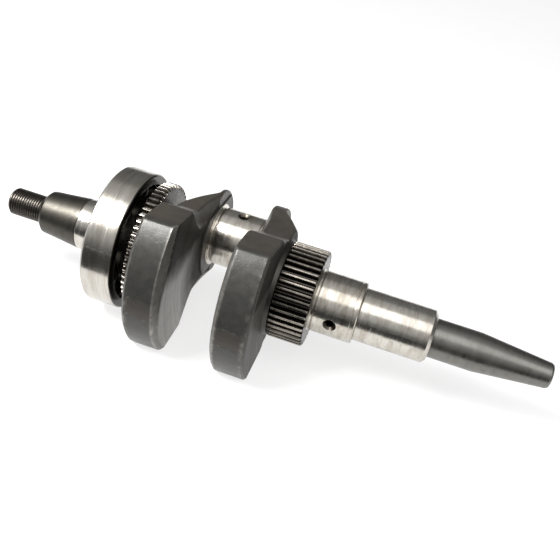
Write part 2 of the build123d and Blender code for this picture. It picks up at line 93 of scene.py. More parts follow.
# the band across the rim where the forging's flash was trimmed off
TRIM_LOW_Z, TRIM_HIGH_Z = -9.3, 2.3
BALANCER_X, BALANCER_WIDTH, BALANCER_TEETH, BALANCER_HUB_R = 14.2, 6.8, 58, 26.0
TIMING_X, TIMING_WIDTH, TIMING_TEETH, TIMING_SEAT_R = 94.8, 20.2, 42, 18.0
GEAR_MODULE, PRESSURE_ANGLE, TOOTH_DEPTH = 1.25, math.radians(20), 2.8
BEARING_R, BEARING_HALF_WIDTH, BEARING_LAND_R = 40.0, 9.0, 34.4
BALL_PITCH_R, BALL_R, RACE_R, RACE_GAP = 30.0, 5.95, 6.2, 0.05
PIN_MIDDLE_X = (LEFT_INNER_X + RIGHT_INNER_X) / 2
JOURNAL_END_X, JOURNAL_R, UNDERCUT = 140.3, 17.5, 0.6
SEAL_END_X, SEAL_R = 181.1, 15.0
CYLINDER_END_X, CYLINDER_R, OUTPUT_END_R = 206.0, 11.0, 7.0
TAPPED_R, TAPPED_DEPTH = 3.4, 25
OIL_R, OIL_SINK_R, OIL_X, OIL_ANGLE = 2.25, 3.75, 127.0, math.radians(5.9)
GALLERY_LENGTH, PLUG_BORE_R, PLUG_SINK = 98.2, 3.55, 4.2
KEYWAY_WIDTH, KEYWAY_FLOOR_R = 5.0, 11.6
KEYWAY_X, KEYWAY_ANGLE = (-47.0, -28.0), math.radians(65)
FLOOR_Z = cad_low.z


# ---------------------------------------------------------------------------------------------
# Mesh helpers
# ---------------------------------------------------------------------------------------------
def add_object(name, data):
    """A new object in the scene, showing a mesh, a lamp or a camera."""
    obj = bpy.data.objects.new(name, data)
    bpy.context.scene.collection.objects.link(obj)
    return obj


def face_outwards(mesh, merge=0.0):
    """Turn all faces outwards, once vertices nearer than merge metres are joined."""
    work = bmesh.new()
    work.from_mesh(mesh)
    if merge:
        bmesh.ops.remove_doubles(work, verts=work.verts, dist=merge)
    bmesh.ops.recalc_face_normals(work, faces=work.faces)
    work.to_mesh(mesh)
    work.free()


def new_object(name, vertices, faces, smooth_angle=30):
    """A mesh object from millimetre coordinates, smooth except over sharp edges."""
    mesh = bpy.data.meshes.new(name)
    mesh.from_pydata([tuple(c * MM for c in v) for v in vertices], [], faces)
    mesh.validate()
    face_outwards(mesh)
    obj = add_object(name, mesh)
    shade(obj, smooth_angle)
    return obj


def shade(obj, angle=30):
    obj.data.polygons.foreach_set("use_smooth", [True] * len(obj.data.polygons))
    obj.data.set_sharp_from_angle(angle=math.radians(angle))


def mark_points(mesh, label, values):
    """Store one number for each vertex, which a material reads."""
    layer = mesh.attributes.new(label, "FLOAT", "POINT")
    layer.data.foreach_set("value", np.array(values, np.float32))


def skin(rings):
    """Quads from each closed ring of vertex numbers to the next."""
    faces = []
    for low, high in zip(rings, rings[1:]):
        pairs = list(zip(low, high))
        faces += [(a, b, d, c) for (a, c), (b, d) in zip(pairs, pairs[1:] + pairs[:1])]
    return faces


def fan(ring, point):
    """Triangles from a closed ring of vertex numbers to one vertex."""
    return [(a, b, point) for a, b in zip(ring, ring[1:] + ring[:1])]


def circle(x, radius, segments, centre_y=0.0):
    """Points round the line y = centre_y at the station x."""
    turns = [2 * math.pi * k / segments for k in range(segments)]
    return [(x, centre_y + radius * math.cos(a), radius * math.sin(a)) for a in turns]


def arc_points(centre, radius, start, end, count):
    """Points of an arc from start to end, in degrees."""
    turns = [math.radians(start + (end - start) * k / count) for k in range(count + 1)]
    return [(centre[0] + radius * math.cos(a), centre[1] + radius * math.sin(a)) for a in turns]


def rounded(profile, radius, steps=4):
    """Replace each inner corner of a polyline by a small arc."""
    points = [np.array(p, float) for p in profile]
    out = [points[0]]
    for before, corner, after in zip(points, points[1:], points[2:]):
        a, b = before - corner, after - corner
        la, lb = np.linalg.norm(a), np.linalg.norm(b)
        a, b = a / la, b / lb
        half = math.acos(max(-1, min(1, float(a @ b)))) / 2
        if half > math.radians(86):
            out.append(corner)
            continue
        reach = min(radius / math.tan(half), 0.45 * la, 0.45 * lb)
        r = reach * math.tan(half)
        middle = (a + b) / np.linalg.norm(a + b)
        centre = corner + middle * (r / math.sin(half))
        start, end = corner + a * reach, corner + b * reach
        for k in range(steps + 1):
            t = k / steps
            way = (start - centre) * (1 - t) + (end - centre) * t
            out.append(centre + way / np.linalg.norm(way) * r)
    out.append(points[-1])
    return [tuple(p) for p in out]


def refined(profile, step):
    """Split the long runs of a profile so that no run is longer than step."""
    out = [profile[0]]
    for p, q in zip(profile, profile[1:]):
        parts = max(1, math.ceil(math.dist(p, q) / step))
        for k in range(1, parts + 1):
            t = k / parts
            out.append((p[0] + (q[0] - p[0]) * t, p[1] + (q[1] - p[1]) * t))
    return out


def lathe(name, profile, segments=256, centre_y=0.0, step=4.0):
    """Turn a profile of (x, radius) points about the line y = centre_y. A radius of 0 ends it."""
    vertices, faces, rings = [], [], []
    for x, r in refined(profile, step):
        start = len(vertices)
        vertices += circle(x, r, segments if r > 1e-6 else 1, centre_y)
        rings.append(list(range(start, len(vertices))))
    for low, high in zip(rings, rings[1:]):
        if len(low) == 1:
            faces += fan(high, low[0])
        elif len(high) == 1:
            faces += fan(low, high[0])
        else:
            faces += skin([low, high])
    return new_object(name, vertices, faces)


def cut(obj, cutter, smooth_angle=30):
    """Take the cutter's volume out of obj, and delete the cutter."""
    modifier = obj.modifiers.new("cut", "BOOLEAN")
    modifier.operation = "DIFFERENCE"
    modifier.solver = "EXACT"
    modifier.object = cutter
    graph = bpy.context.evaluated_depsgraph_get()
    mesh = bpy.data.meshes.new_from_object(obj.evaluated_get(graph))
    obj.modifiers.remove(modifier)
    obj.data = mesh
    bpy.data.objects.remove(cutter)
    shade(obj, smooth_angle)


def turned_to(obj, origin, direction):
    """Move an object whose own axis is X so that X points along direction from origin."""
    way = Vector(direction).normalized()
    turn = Vector((1, 0, 0)).rotation_difference(way).to_matrix().to_4x4()
    obj.data.transform(Matrix.Translation(Vector(origin) * MM) @ turn)
    return obj


def oil_hole_cutter(mouth, way, depth):
    """A drilled hole with a soft countersink, going in from its mouth along way."""
    profile = [(-3, 0), (-3, OIL_SINK_R + 2.2), (0.1, OIL_SINK_R), (1.5, OIL_R + 0.25),
               (2.4, OIL_R), (depth, OIL_R), (depth + 1.2, 0)]
    return turned_to(lathe("cutter", rounded(profile, 0.3, 3), segments=48, step=50), mouth, way)


def finish_piece(obj, body, slot, material, *replaced):
    obj.data.materials.clear()
    obj.data.materials.append(material)
    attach(obj, body)
    if replaced:
        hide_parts(*replaced)
    return obj


# ---------------------------------------------------------------------------------------------
# Node material helpers
# ---------------------------------------------------------------------------------------------
class Nodes:
    """A small wrapper that makes the shader nodes of a material or world and joins them."""

    def __init__(self, owner, output="OutputMaterial"):
        owner.use_nodes = True
        self.owner, self.tree = owner, owner.node_tree
        self.tree.nodes.clear()
        self.output = self.add(output)

    def add(self, kind, **values):
        """A new node, with each value put in the input or the property of that name."""
        node = self.tree.nodes.new("ShaderNode" + kind)
        for key, value in values.items():
            name = key.replace("_", " ")
            if name in node.inputs:
                self.feed(node.inputs[name], value)
            else:
                setattr(node, key, value)
        return node

    def feed(self, socket, value):
        if isinstance(value, bpy.types.NodeSocket):
            self.tree.links.new(value, socket)
        else:
            socket.default_value = value

    def feed_all(self, node, *values):
        for socket, value in zip(node.inputs, values):
            self.feed(socket, value)
        return node.outputs[0]

    def math(self, operation, *values, clamp=False):
        return self.feed_all(self.add("Math", operation=operation, use_clamp=clamp), *values)

    def times(self, a, b, clamp=False):
        return self.math("MULTIPLY", a, b, clamp=clamp)

    def plus(self, a, b):
        return self.math("ADD", a, b)

    def minus(self, a, b):
        return self.math("SUBTRACT", a, b)

    def hypot(self, a, b):
        return self.math("SQRT", self.plus(self.times(a, a), self.times(b, b)))

    def blend(self, factor, a, b):
        """The number between a and b."""
        return self.plus(self.times(a, self.minus(1.0, factor)), self.times(b, factor))

    def position(self):
        return self.add("TexCoord").outputs["Object"]

    def split(self, vector):
        return self.add("SeparateXYZ", Vector=vector).outputs

    def join(self, x, y, z=0.0):
        return self.feed_all(self.add("CombineXYZ"), x, y, z)

    def noise(self, vector, scale, detail=4.0, roughness=0.55, distortion=0.0):
        node = self.add("TexNoise", Vector=vector, Scale=scale, Detail=detail,
                        Roughness=roughness, Distortion=distortion)
        return node.outputs["Fac"]

    def span(self, value, low, high, to_low=0.0, to_high=1.0):
        """The value's place between low and high, clamped and carried to the second range."""
        return self.feed_all(self.add("MapRange", clamp=True), value, low, high, to_low, to_high)

    def mix(self, factor, a, b):
        """The colour or direction between a and b."""
        node = self.add("Mix", data_type="RGBA")
        for index, value in ((0, factor), (6, a), (7, b)):
            self.feed(node.inputs[index], value)
        return node.outputs[2]

    def bump(self, height, strength, distance):
        return self.add("Bump", Strength=strength, Distance=distance, Height=height).outputs[0]

    def attribute(self, name):
        return self.add("Attribute", attribute_name=name).outputs["Fac"]

    def finish(self, color, roughness, metallic, normal=None, **others):
        shader = self.add("BsdfPrincipled", Base_Color=color, Roughness=roughness,
                          Metallic=metallic, **others)
        if normal is not None:
            self.feed(shader.inputs["Normal"], normal)
        self.tree.links.new(shader.outputs[0], self.output.inputs[0])
        return self.owner


def rgb(r, g, b):
    return (r, g, b, 1.0)


def darker(color, share):
    return rgb(*[c * share for c in color[:3]])


def turned_steel(name, light, dark, roughness, line_depth=0.25, centre_y=0.0, patina=0.35,
                 hole=None, shaded_ring_sides=None, metal=1.0):
    """Steel finished on a lathe or grinder: fine rings round its own axis, and a few wear bands.
    hole is (x, angle, through) of an oil hole whose walls and countersink are darkened as painted
    shade; shaded_ring_sides is the half width beyond which a bearing ring's side faces, and the
    lands of its bore, are dark: partly their own dark finish, partly painted shade."""
    n = Nodes(bpy.data.materials.new(name))
    x, y, z = n.split(n.position())
    y = n.minus(y, centre_y * MM)
    radius, angle = n.hypot(y, z), n.math("ARCTAN2", z, y)
    # fine rings: long along the circumference, very short along the axis and the radius
    along = n.plus(x, n.times(radius, 1.7))
    ring_place = n.join(along, n.times(angle, 0.0006))
    fine = n.noise(ring_place, 5200.0, 3.0, 0.7)
    coarse = n.noise(ring_place, 900.0, 4.0, 0.6)
    wear = n.noise(n.join(along, n.times(angle, 0.004)), 260.0, 5.0, 0.65)
    stain = n.noise(n.position(), 60.0, 5.0, 0.6, 0.4)
    specks = n.noise(n.position(), 900.0, 3.0, 0.6)
    color = n.mix(n.times(n.span(wear, 0.44, 0.64), patina), light, dark)
    color = n.mix(n.span(stain, 0.5, 0.8, 0.0, patina), color, dark)
    color = n.mix(n.span(specks, 0.66, 0.78, 0.0, 0.25), color, rgb(0.1, 0.08, 0.06))
    rough = n.plus(roughness, n.span(coarse, 0.3, 0.8, -0.05, 0.12))
    rough = n.plus(rough, n.span(stain, 0.45, 0.8, 0.0, 0.1))
    normal = n.bump(n.plus(n.times(fine, 0.5), coarse), line_depth, 0.00002)
    # painted shade: the oil hole's walls and countersink are darkened in colour
    if hole:
        hole_x, hole_turn, through = hole
        across = n.minus(n.times(z, math.cos(hole_turn)), n.times(y, math.sin(hole_turn)))
        reach = n.hypot(n.minus(x, hole_x * MM), across)
        inside = n.span(reach, (OIL_SINK_R - 0.35) * MM, (OIL_SINK_R + 0.15) * MM, 1.0, 0.0)
        if not through:
            outwards = n.plus(n.times(y, math.cos(hole_turn)), n.times(z, math.sin(hole_turn)))
            inside = n.times(inside, n.span(outwards, -0.001, 0.001, 1.0, 0.0))
        color = n.mix(n.times(inside, 0.92), color, rgb(0.05, 0.04, 0.03))
        rough = n.plus(rough, n.times(inside, 0.2))
    # painted shade: a bearing ring's side faces and the lands of its bore are darkened, over their
    # own dark finish
    if shaded_ring_sides:
        beyond = n.span(n.math("ABSOLUTE", x), (shaded_ring_sides - 0.2) * MM, shaded_ring_sides * MM)
        lands = n.span(radius, (BEARING_LAND_R + 0.2) * MM, (BEARING_LAND_R + 0.6) * MM, 1.0, 0.0)
        color = n.mix(n.math("MAXIMUM", beyond, lands), color, rgb(0.035, 0.031, 0.027))
    return n.finish(color, rough, metal, normal)


def forged_steel():
    """Forging scale: dark, slightly glossy, mottled brown and blue-grey, bright on worn edges.
    Where the mesh marks a turned face, it is bare steel with turning marks about the crankpin."""
    n = Nodes(bpy.data.materials.new("forged_scale"))
    place = n.position()
    x, y, z = n.split(place)
    broad = n.noise(place, 45.0, 5.0, 0.6, 0.3)
    mottle = n.noise(place, 260.0, 6.0, 0.62, 0.2)
    grain = n.noise(place, 1500.0, 4.0, 0.65)
    pits = n.noise(place, 700.0, 2.0, 0.5)
    trim, side, chamfer = (n.attribute(name) for name in ("trim_band", "side_wall", "chamfer_band"))
    turned = n.span(n.attribute("turned_face"), 0.4, 0.6)
    worn = n.times(n.attribute("edge_wear"), n.span(mottle, 0.38, 0.62, 0.2, 1.0))
    color = n.mix(n.span(broad, 0.35, 0.65), rgb(0.070, 0.061, 0.050), rgb(0.050, 0.044, 0.037))
    # over the brown scale: bluer side walls, light and dark mottling, the trimmed band, the
    # chamfer and the worn edges
    for mask, tone in (
        (side, rgb(0.046, 0.046, 0.043)),
        (n.span(mottle, 0.4, 0.7, 0.0, 0.4), rgb(0.085, 0.077, 0.066)),
        (n.span(grain, 0.55, 0.8, 0.0, 0.4), rgb(0.03, 0.028, 0.025)),
        (n.times(trim, n.span(mottle, 0.3, 0.6, 0.5, 1.0)), rgb(0.060, 0.053, 0.045)),
        (n.times(chamfer, n.span(mottle, 0.3, 0.65, 0.45, 0.9)), rgb(0.175, 0.168, 0.154)),
        (n.times(worn, 0.75, clamp=True), rgb(0.45, 0.43, 0.40)),
    ):
        color = n.mix(mask, color, tone)
    rough = n.minus(n.span(mottle, 0.3, 0.75, 0.36, 0.46), n.times(side, 0.06))
    rough = n.plus(rough, n.times(trim, 0.10))
    height = n.plus(mottle, n.times(grain, 0.35))
    height = n.minus(height, n.span(pits, 0.62, 0.72, 0.0, 0.8))
    normal = n.bump(height, 0.35, 0.00012)
    metal = n.plus(0.5, n.times(worn, 0.5))
    # turning marks, circles about the crankpin
    off = n.minus(y, THROW * MM)
    radius, angle = n.hypot(off, z), n.math("ARCTAN2", z, n.times(off, -1.0))
    ring = n.join(radius, n.times(angle, 0.0012))
    marks = n.noise(ring, 1600.0, 5.0, 0.7)
    bands = n.noise(ring, 300.0, 4.0, 0.6)
    bare = n.mix(n.span(marks, 0.35, 0.7), rgb(0.165, 0.156, 0.143), rgb(0.26, 0.247, 0.23))
    bare = n.mix(n.span(broad, 0.45, 0.75, 0.0, 0.6), bare, rgb(0.105, 0.096, 0.085))
    # painted shade on the bare steel, darker, rougher and less metallic: near the pin, on the upper
    # part and all over the right web's outer face
    by_pin = n.span(n.plus(radius, n.times(broad, 0.022)), 0.046, 0.066, 1.0, 0.0)
    upper = n.span(n.plus(z, n.times(broad, 0.014)), 0.010, 0.024)
    right_face = n.span(x, 0.080, 0.085, 0.0, 0.75)
    web_shade_mask = n.math("MAXIMUM", n.math("MAXIMUM", by_pin, upper), right_face)
    bare = n.mix(n.times(web_shade_mask, 0.9), bare, rgb(0.012, 0.011, 0.009))
    bare_rough = n.plus(0.24, n.span(bands, 0.3, 0.7, 0.0, 0.16))
    bare_rough = n.plus(bare_rough, n.times(web_shade_mask, 0.22))
    bare_metal = n.minus(1.0, n.times(web_shade_mask, 0.85))
    dulled = n.times(n.times(turned, web_shade_mask), 0.44)
    return n.finish(n.mix(turned, color, bare), n.blend(turned, rough, bare_rough),
                    n.blend(turned, metal, bare_metal),
                    n.mix(turned, normal, n.bump(marks, 0.35, 0.00006)),
                    Specular_IOR_Level=n.minus(0.5, dulled))


def gear_steel(name, flank, tip, teeth):
    """Cut gear steel: dark flanks and lighter tips, as painted shade down into the valleys between
    the teeth and a painted highlight on the tips.
    """
    n = Nodes(bpy.data.materials.new(name))
    place = n.position()
    x, y, z = n.split(place)
    wear = n.noise(place, 420.0, 5.0, 0.65)
    grain = n.noise(n.join(n.times(x, 0.15), y, z), 2600.0, 3.0, 0.6)
    stain = n.noise(place, 90.0, 4.0, 0.6)
    tip_r = GEAR_MODULE * (teeth / 2 + 1)
    height_on_tooth = n.span(n.hypot(y, z), (tip_r - TOOTH_DEPTH) * MM, tip_r * MM)
    # painted highlight on the top of each tooth, with the flanks below left dark as painted shade
    tip_highlight = n.span(n.plus(height_on_tooth, n.times(wear, 0.5)), 0.92, 1.28)
    color = n.mix(n.span(stain, 0.35, 0.7), flank, darker(flank, 0.7))
    color = n.mix(tip_highlight, color, tip)
    color = n.mix(n.span(grain, 0.58, 0.8, 0.0, 0.4), color, rgb(0.04, 0.035, 0.03))
    rough = n.plus(0.25, n.span(wear, 0.3, 0.7, -0.06, 0.12))
    return n.finish(color, rough, 1.0, n.bump(n.plus(grain, n.times(wear, 0.6)), 0.3, 0.00004))


def plain_metal(name, color, roughness, scale):
    """A small steel part: faint mottling in colour, gloss and surface."""
    n = Nodes(bpy.data.materials.new(name))
    mottle = n.noise(n.position(), scale, 5.0, 0.6)
    broad = n.noise(n.position(), scale * 0.15, 4.0, 0.6)
    tone = n.mix(n.span(mottle, 0.35, 0.75, 0.0, 0.5), color, darker(color, 0.55))
    rough = n.plus(roughness, n.span(broad, 0.3, 0.7, -0.04, 0.1))
    return n.finish(tone, rough, 1.0, n.bump(mottle, 0.2, 0.00003))


MATERIALS = {
    "forged": forged_steel(),
    "journal": turned_steel("ground_journal", rgb(0.60, 0.57, 0.515), rgb(0.27, 0.225, 0.165),
                            0.17, patina=0.6, hole=(OIL_X, OIL_ANGLE, False)),
    "plain_journal": turned_steel("plain_journal", rgb(0.62, 0.595, 0.545),
                                  rgb(0.30, 0.255, 0.20), 0.18, patina=0.5),
    "pin": turned_steel("ground_pin", rgb(0.70, 0.665, 0.605), rgb(0.34, 0.285, 0.22), 0.15,
                        centre_y=THROW, patina=0.5, hole=(PIN_MIDDLE_X, math.pi / 2, True)),
    # the thrust faces' dark colour is painted shade, cast by the webs and the pin beside them
    "thrust": turned_steel("thrust_face", rgb(0.11, 0.103, 0.092), rgb(0.06, 0.054, 0.047), 0.42,
                           0.4, centre_y=THROW, metal=0.5),
    "ring": turned_steel("bearing_ring", rgb(0.58, 0.555, 0.51), rgb(0.33, 0.29, 0.235), 0.16,
                         0.15, patina=0.55, shaded_ring_sides=BEARING_HALF_WIDTH - 0.5),
    # the inner ring's dark colour is painted shade inside the bearing
    "inner_ring": turned_steel("bearing_inner_ring", rgb(0.14, 0.13, 0.12),
                               rgb(0.07, 0.062, 0.055), 0.26, 0.15),
    "satin": turned_steel("satin_shaft", rgb(0.20, 0.195, 0.18), rgb(0.115, 0.108, 0.096), 0.30,
                          0.5),
    "taper": turned_steel("taper_steel", rgb(0.088, 0.082, 0.071), rgb(0.05, 0.045, 0.038), 0.36,
                          0.6),
    "collar": turned_steel("shoulder_steel", rgb(0.07, 0.065, 0.058), rgb(0.04, 0.036, 0.031),
                           0.36, 0.5),
    "thread": plain_metal("thread_steel", rgb(0.11, 0.10, 0.088), 0.34, 900.0),
    # the dark colours of the balls and the cage are painted shade inside the bearing
    "ball": plain_metal("ball_steel", rgb(0.07, 0.066, 0.062), 0.22, 300.0),
    "cage": plain_metal("cage_steel", rgb(0.03, 0.028, 0.025), 0.42, 500.0),
    "small": plain_metal("small_steel", rgb(0.38, 0.37, 0.35), 0.32, 800.0),
    "balancer": gear_steel("balancer_gear_steel", rgb(0.11, 0.10, 0.088), rgb(0.25, 0.235, 0.21),
                           BALANCER_TEETH),
    "timing": gear_steel("timing_gear_steel", rgb(0.055, 0.048, 0.042), rgb(0.34, 0.31, 0.27),
                         TIMING_TEETH),
}


# ---------------------------------------------------------------------------------------------
# Turned parts of the crankshaft
# ---------------------------------------------------------------------------------------------
def make_threaded_end():
    """The flywheel nut's thread, as a true right-hand helix with a chamfered start."""
    segments, per_pitch = 96, 16
    start_r, plain_neck, run_out = THREAD_R - 1.5, 1.2, 2.0
    length = TAPER_SMALL_X - THREAD_END_X
    rows = int(length / THREAD_PITCH * per_pitch) + 1
    vertices = []
    for i in range(rows):
        along = length * i / (rows - 1)
        fade = min(1.0, max(0.0, (length - plain_neck - along) / run_out))
        for k in range(segments):
            turn = k / segments
            phase = (along / THREAD_PITCH + turn) % 1.0
            flank = min(abs(phase - 0.5) * 2 * 1.35, 1.0)
            form = max(0.0, min(1.0, (1.0 - flank) * 1.25 + 0.02))
            r = min(THREAD_R - THREAD_DEPTH + THREAD_DEPTH * form * fade, start_r + along)
            a = 2 * math.pi * turn
            vertices.append((THREAD_END_X + along, r * math.cos(a), r * math.sin(a)))
    # end face with a lathe centre
    for depth, r in ((0.0, 5.2), (0.0, 2.9), (1.6, 1.9), (4.2, 0.25)):
        vertices += circle(THREAD_END_X + depth, r, segments)
    rings = [list(range(k, k + segments)) for k in range(0, len(vertices), segments)]
    thread, end_face = rings[:rows], rings[:1] + rings[rows:]
    faces = skin(thread) + skin(end_face) + [tuple(end_face[-1]), tuple(thread[-1])]
    return new_object("flywheel_thread", vertices, faces, 50)


def make_flywheel_taper():
    profile = rounded([(TAPER_SMALL_X, 0), (TAPER_SMALL_X, TAPER_SMALL_R - 2.0),
                       (TAPER_SMALL_X + 2.0, TAPER_SMALL_R), (TAPER_LARGE_X, TAPER_LARGE_R),
                       (TAPER_LARGE_X, 0)], 0.35)
    obj = lathe("flywheel_taper", profile, step=2.0)
    low, high = KEYWAY_X
    half, beyond_r = KEYWAY_WIDTH / 2, 24.0
    outline = (arc_points((high - half, 0), half, -90, 90, 16)
               + arc_points((low + half, 0), half, 90, 270, 16))
    vertices = [(x, y, z) for y in (KEYWAY_FLOOR_R, beyond_r) for x, z in outline]
    floor, top = range(len(outline)), range(len(outline), len(vertices))
    faces = [tuple(floor), tuple(reversed(top))] + skin([floor, top])
    slot_cutter = new_object("cutter", vertices, faces)
    slot_cutter.data.transform(Matrix.Rotation(KEYWAY_ANGLE, 4, "X"))
    cut(obj, slot_cutter)
    return obj


def make_flywheel_journal():
    shoulder_x = BALANCER_X + BALANCER_WIDTH
    profile = rounded([(TAPER_LARGE_X, 0), (TAPER_LARGE_X, TAPER_LARGE_R),
                       (BEARING_SEAT_X, TAPER_LARGE_R), (BEARING_SEAT_X, BEARING_SEAT_R - 1),
                       (BEARING_SEAT_X + 1, BEARING_SEAT_R), (GEAR_SEAT_X, BEARING_SEAT_R),
                       (GEAR_SEAT_X, BALANCER_SEAT_R), (shoulder_x, BALANCER_SEAT_R),
                       (shoulder_x, 0)], 0.25)
    return lathe("flywheel_side_journal", profile)


def make_shoulder(name, start_x, end_x, start_r, end_r):
    """The turned collar between a web and the gear beside it."""
    profile = rounded([(start_x, 0), (start_x, start_r), (end_x, end_r), (end_x, 0)], 0.3)
    return lathe(name, profile)


def make_main_journal():
    gear_end = TIMING_X + TIMING_WIDTH
    groove_r, line_r = JOURNAL_R - UNDERCUT, JOURNAL_R - 0.25
    profile = rounded([(TIMING_X, 0), (TIMING_X, TIMING_SEAT_R), (gear_end, TIMING_SEAT_R),
                       (gear_end + 0.4, groove_r), (gear_end + 1.6, groove_r),
                       (gear_end + 2.2, JOURNAL_R), (JOURNAL_END_X - 3.2, JOURNAL_R),
                       (JOURNAL_END_X - 3.0, line_r), (JOURNAL_END_X - 2.6, line_r),
                       (JOURNAL_END_X - 2.4, JOURNAL_R), (JOURNAL_END_X - 0.6, JOURNAL_R),
                       (JOURNAL_END_X, JOURNAL_R - 0.6), (JOURNAL_END_X, 0)], 0.2)
    obj = lathe("main_journal", profile, step=3.0)
    way = Vector((0, math.cos(OIL_ANGLE), math.sin(OIL_ANGLE)))
    cut(obj, oil_hole_cutter(Vector((OIL_X, 0, 0)) - way * JOURNAL_R, way, JOURNAL_R))
    return obj


def make_seal_journal():
    profile = rounded([(JOURNAL_END_X, 0), (JOURNAL_END_X, SEAL_R), (SEAL_END_X - 2, SEAL_R),
                       (SEAL_END_X, SEAL_R - 2), (SEAL_END_X, 0)], 0.3)
    return lathe("seal_journal", profile)


def make_output_end():
    end = OUTPUT_END_X
    profile = rounded([(SEAL_END_X, 0), (SEAL_END_X, CYLINDER_R), (CYLINDER_END_X, CYLINDER_R),
                       (end - 1.5, OUTPUT_END_R + 0.12), (end - 0.4, OUTPUT_END_R - 0.5),
                       (end, OUTPUT_END_R - 1.5), (end, TAPPED_R + 1.0), (end - 1.0, TAPPED_R),
                       (end - TAPPED_DEPTH, TAPPED_R), (end - TAPPED_DEPTH - 1, 0)], 0.3)
    return lathe("output_taper", profile, step=3.0)


def make_crankpin():
    left, right = LEFT_INNER_X + THRUST_HEIGHT, RIGHT_INNER_X - THRUST_HEIGHT
    neck, collar = PIN_R - UNDERCUT, PIN_R + 1.6
    profile = rounded([(left - 2, 0), (left - 2, collar), (left + 0.2, collar),
                       (left + 0.5, neck), (left + 2.0, neck), (left + 2.4, PIN_R),
                       (right - 2.4, PIN_R), (right - 2.0, neck), (right - 0.5, neck),
                       (right - 0.2, collar), (right + 2, collar), (right + 2, 0)], 0.35)
    obj = lathe("crankpin", profile, centre_y=THROW, step=3.0)
    for side in (-1, 1):
        cut(obj, oil_hole_cutter((PIN_MIDDLE_X, THROW, side * PIN_R), (0, 0, -side), PIN_R))
    return obj


# ---------------------------------------------------------------------------------------------
# Forged webs with their counterweights
# ---------------------------------------------------------------------------------------------
def web_outline(step=0.7):
    """Closed outline of a web in (throw, across) millimetres, with its corners rounded."""
    rim_start = math.degrees(math.atan2(RIM_END_HALF_WIDTH, RIM_END_Y))
    rim_next = arc_points((0, 0), RIM_R, rim_start, rim_start + 3, 1)[1]
    side = rounded([(THROW, LOBE_R), (NECK_Y, NECK_HALF_WIDTH),
                    (HORN_Y + HORN_BLUNT, HORN_HALF_WIDTH - HORN_BLUNT / 2),
                    (HORN_Y, HORN_HALF_WIDTH), (RIM_END_Y, RIM_END_HALF_WIDTH), rim_next], 2.6, 8)
    side = refined(side, step)
    rim = arc_points((0, 0), RIM_R, rim_start + 3, 180, int(RIM_R * 0.8 / step))
    lobe = arc_points((THROW, 0), LOBE_R, 0, 90, int(LOBE_R * 1.57 / step))
    half = lobe[:-1] + side + rim[1:-1]
    mirrored = [(a, -c) for a, c in reversed(half[1:])]
    return np.array(half + [(-RIM_R, 0.0)] + mirrored)


def distance_to(points, outline):
    """Shortest distance from each point to a closed polyline."""
    best = np.full(len(points), 1e9)
    for p, q in zip(outline, np.roll(outline, -1, axis=0)):
        run = q - p
        t = np.clip(((points - p) @ run) / max(run @ run, 1e-12), 0, 1)
        best = np.minimum(best, np.linalg.norm(points - (p + t[:, None] * run), axis=1))
    return best


def smoothstep(value, low, high):
    t = np.clip((value - low) / (high - low), 0, 1)
    return t * t * (3 - 2 * t)


def edge_round(distance, radius):
    """How far a face falls at that distance from an edge rounded to radius."""
    inside = np.clip(radius - distance, 0, radius)
    return radius - np.sqrt(np.maximum(radius * radius - inside * inside, 0))


def rim_cut(a, c, along, inwards):
    """Depth of a chamfer round the rim, the given length along X and reach towards the axis."""
    reach = np.broadcast_to(inwards, a.shape)
    depth = RIM_R - np.hypot(a, c)
    return along * np.clip(1 - depth / reach, 0, 1) * smoothstep(-a, RIM_R * 0.55, RIM_R * 0.64)


def blend_least(values, reach):
    """The least of several fields, rolled smoothly into one another over the given reach."""
    return -reach * np.log(sum(np.exp(-np.clip(v, -40, 40) / reach) for v in values))


def crescent_reach(a, c):
    return np.interp(np.degrees(np.arctan2(c, a)) % 360, *zip(*CRESCENT))


